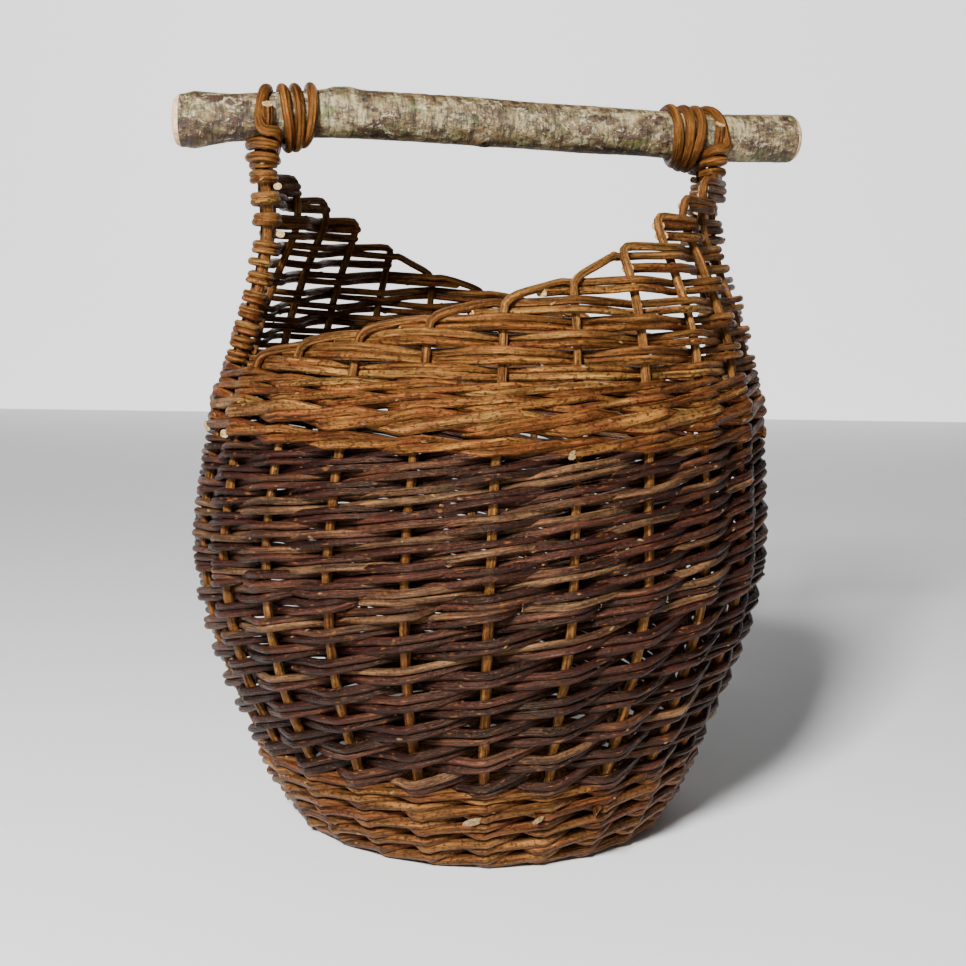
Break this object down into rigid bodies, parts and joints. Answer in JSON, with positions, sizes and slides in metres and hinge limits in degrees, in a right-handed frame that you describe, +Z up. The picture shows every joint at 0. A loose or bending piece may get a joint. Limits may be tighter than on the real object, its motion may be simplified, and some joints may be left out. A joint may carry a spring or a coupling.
{
  "type": "round woven log basket with a log handle",
  "caption": "Round woven willow basket for firewood: belly shape, thick waist band, two stepped panels rising to a lashed log handle.",
  "frame": {"origin": "on the floor, under the middle of the log handle's length, which is 9.6 mm to the right of the middle of the base", "axes": "+Z up, +X along the log handle, +Y across it"},
  "size_m": [0.484, 0.4408, 0.5521],
  "materials": {
    "stake_willow": "satin, smooth golden brown willow bark on the uprights",
    "dark_willow": "satin, dried purple brown willow bark with tan bud scars",
    "light_willow": "satin, dried ochre and olive brown willow bark with reddish patches",
    "foot_willow": "satin, thick ochre brown willow rods",
    "base_willow": "satin, ochre brown willow rods and stout sticks",
    "handle_bark": "matt hazel bark, silver grey and brown with lichen, pale cut ends",
    "lashing_willow": "satin golden brown willow, smooth"
  },
  "bodies": {
    "root": {"base_slit_stick_1": "base_willow", "base_threaded_stick_1": "base_willow", "base_slit_stick_2": "base_willow", "base_threaded_stick_2": "base_willow", "base_slit_stick_3": "base_willow", "base_threaded_stick_3": "base_willow", "base_weave": "base_willow", "stake_01": "stake_willow", "stake_02": "stake_willow", "stake_03": "stake_willow", "stake_04": "stake_willow", "stake_05": "stake_willow", "stake_06": "stake_willow", "stake_07": "stake_willow", "stake_08": "stake_willow", "stake_09": "stake_willow", "stake_10": "stake_willow", "stake_11": "stake_willow", "stake_12": "stake_willow", "stake_13": "stake_willow", "stake_14": "stake_willow", "stake_15": "stake_willow", "stake_16": "stake_willow", "stake_17": "stake_willow", "stake_18": "stake_willow", "stake_19": "stake_willow", "stake_20": "stake_willow", "stake_21": "stake_willow", "stake_22": "stake_willow", "right_post_stake": "stake_willow", "right_post_liner": "stake_willow", "left_post_stake": "stake_willow", "left_post_liner": "stake_willow", "upsett_wale_lower": "foot_willow", "upsett_wale_upper": "foot_willow", "dark_siding_lower": "dark_willow", "dark_siding_middle": "dark_willow", "dark_siding_upper": "dark_willow", "waist_wale_lower": "light_willow", "waist_wale_upper": "light_willow", "back_panel_rows_1": "light_willow", "back_panel_rows_2": "light_willow", "back_panel_rows_3": "light_willow", "back_panel_rows_4": "light_willow", "back_panel_rows_5": "light_willow", "back_panel_rows_6": "light_willow", "front_panel_rows_1": "light_willow", "front_panel_rows_2": "light_willow", "front_panel_rows_3": "light_willow", "front_panel_rows_4": "light_willow", "front_panel_rows_5": "light_willow", "front_panel_rows_6": "light_willow", "log_handle": "handle_bark", "right_lashing": "lashing_willow", "right_post_binding": "lashing_willow", "left_lashing": "lashing_willow", "left_post_binding": "lashing_willow"}
  },
  "joints": []
}
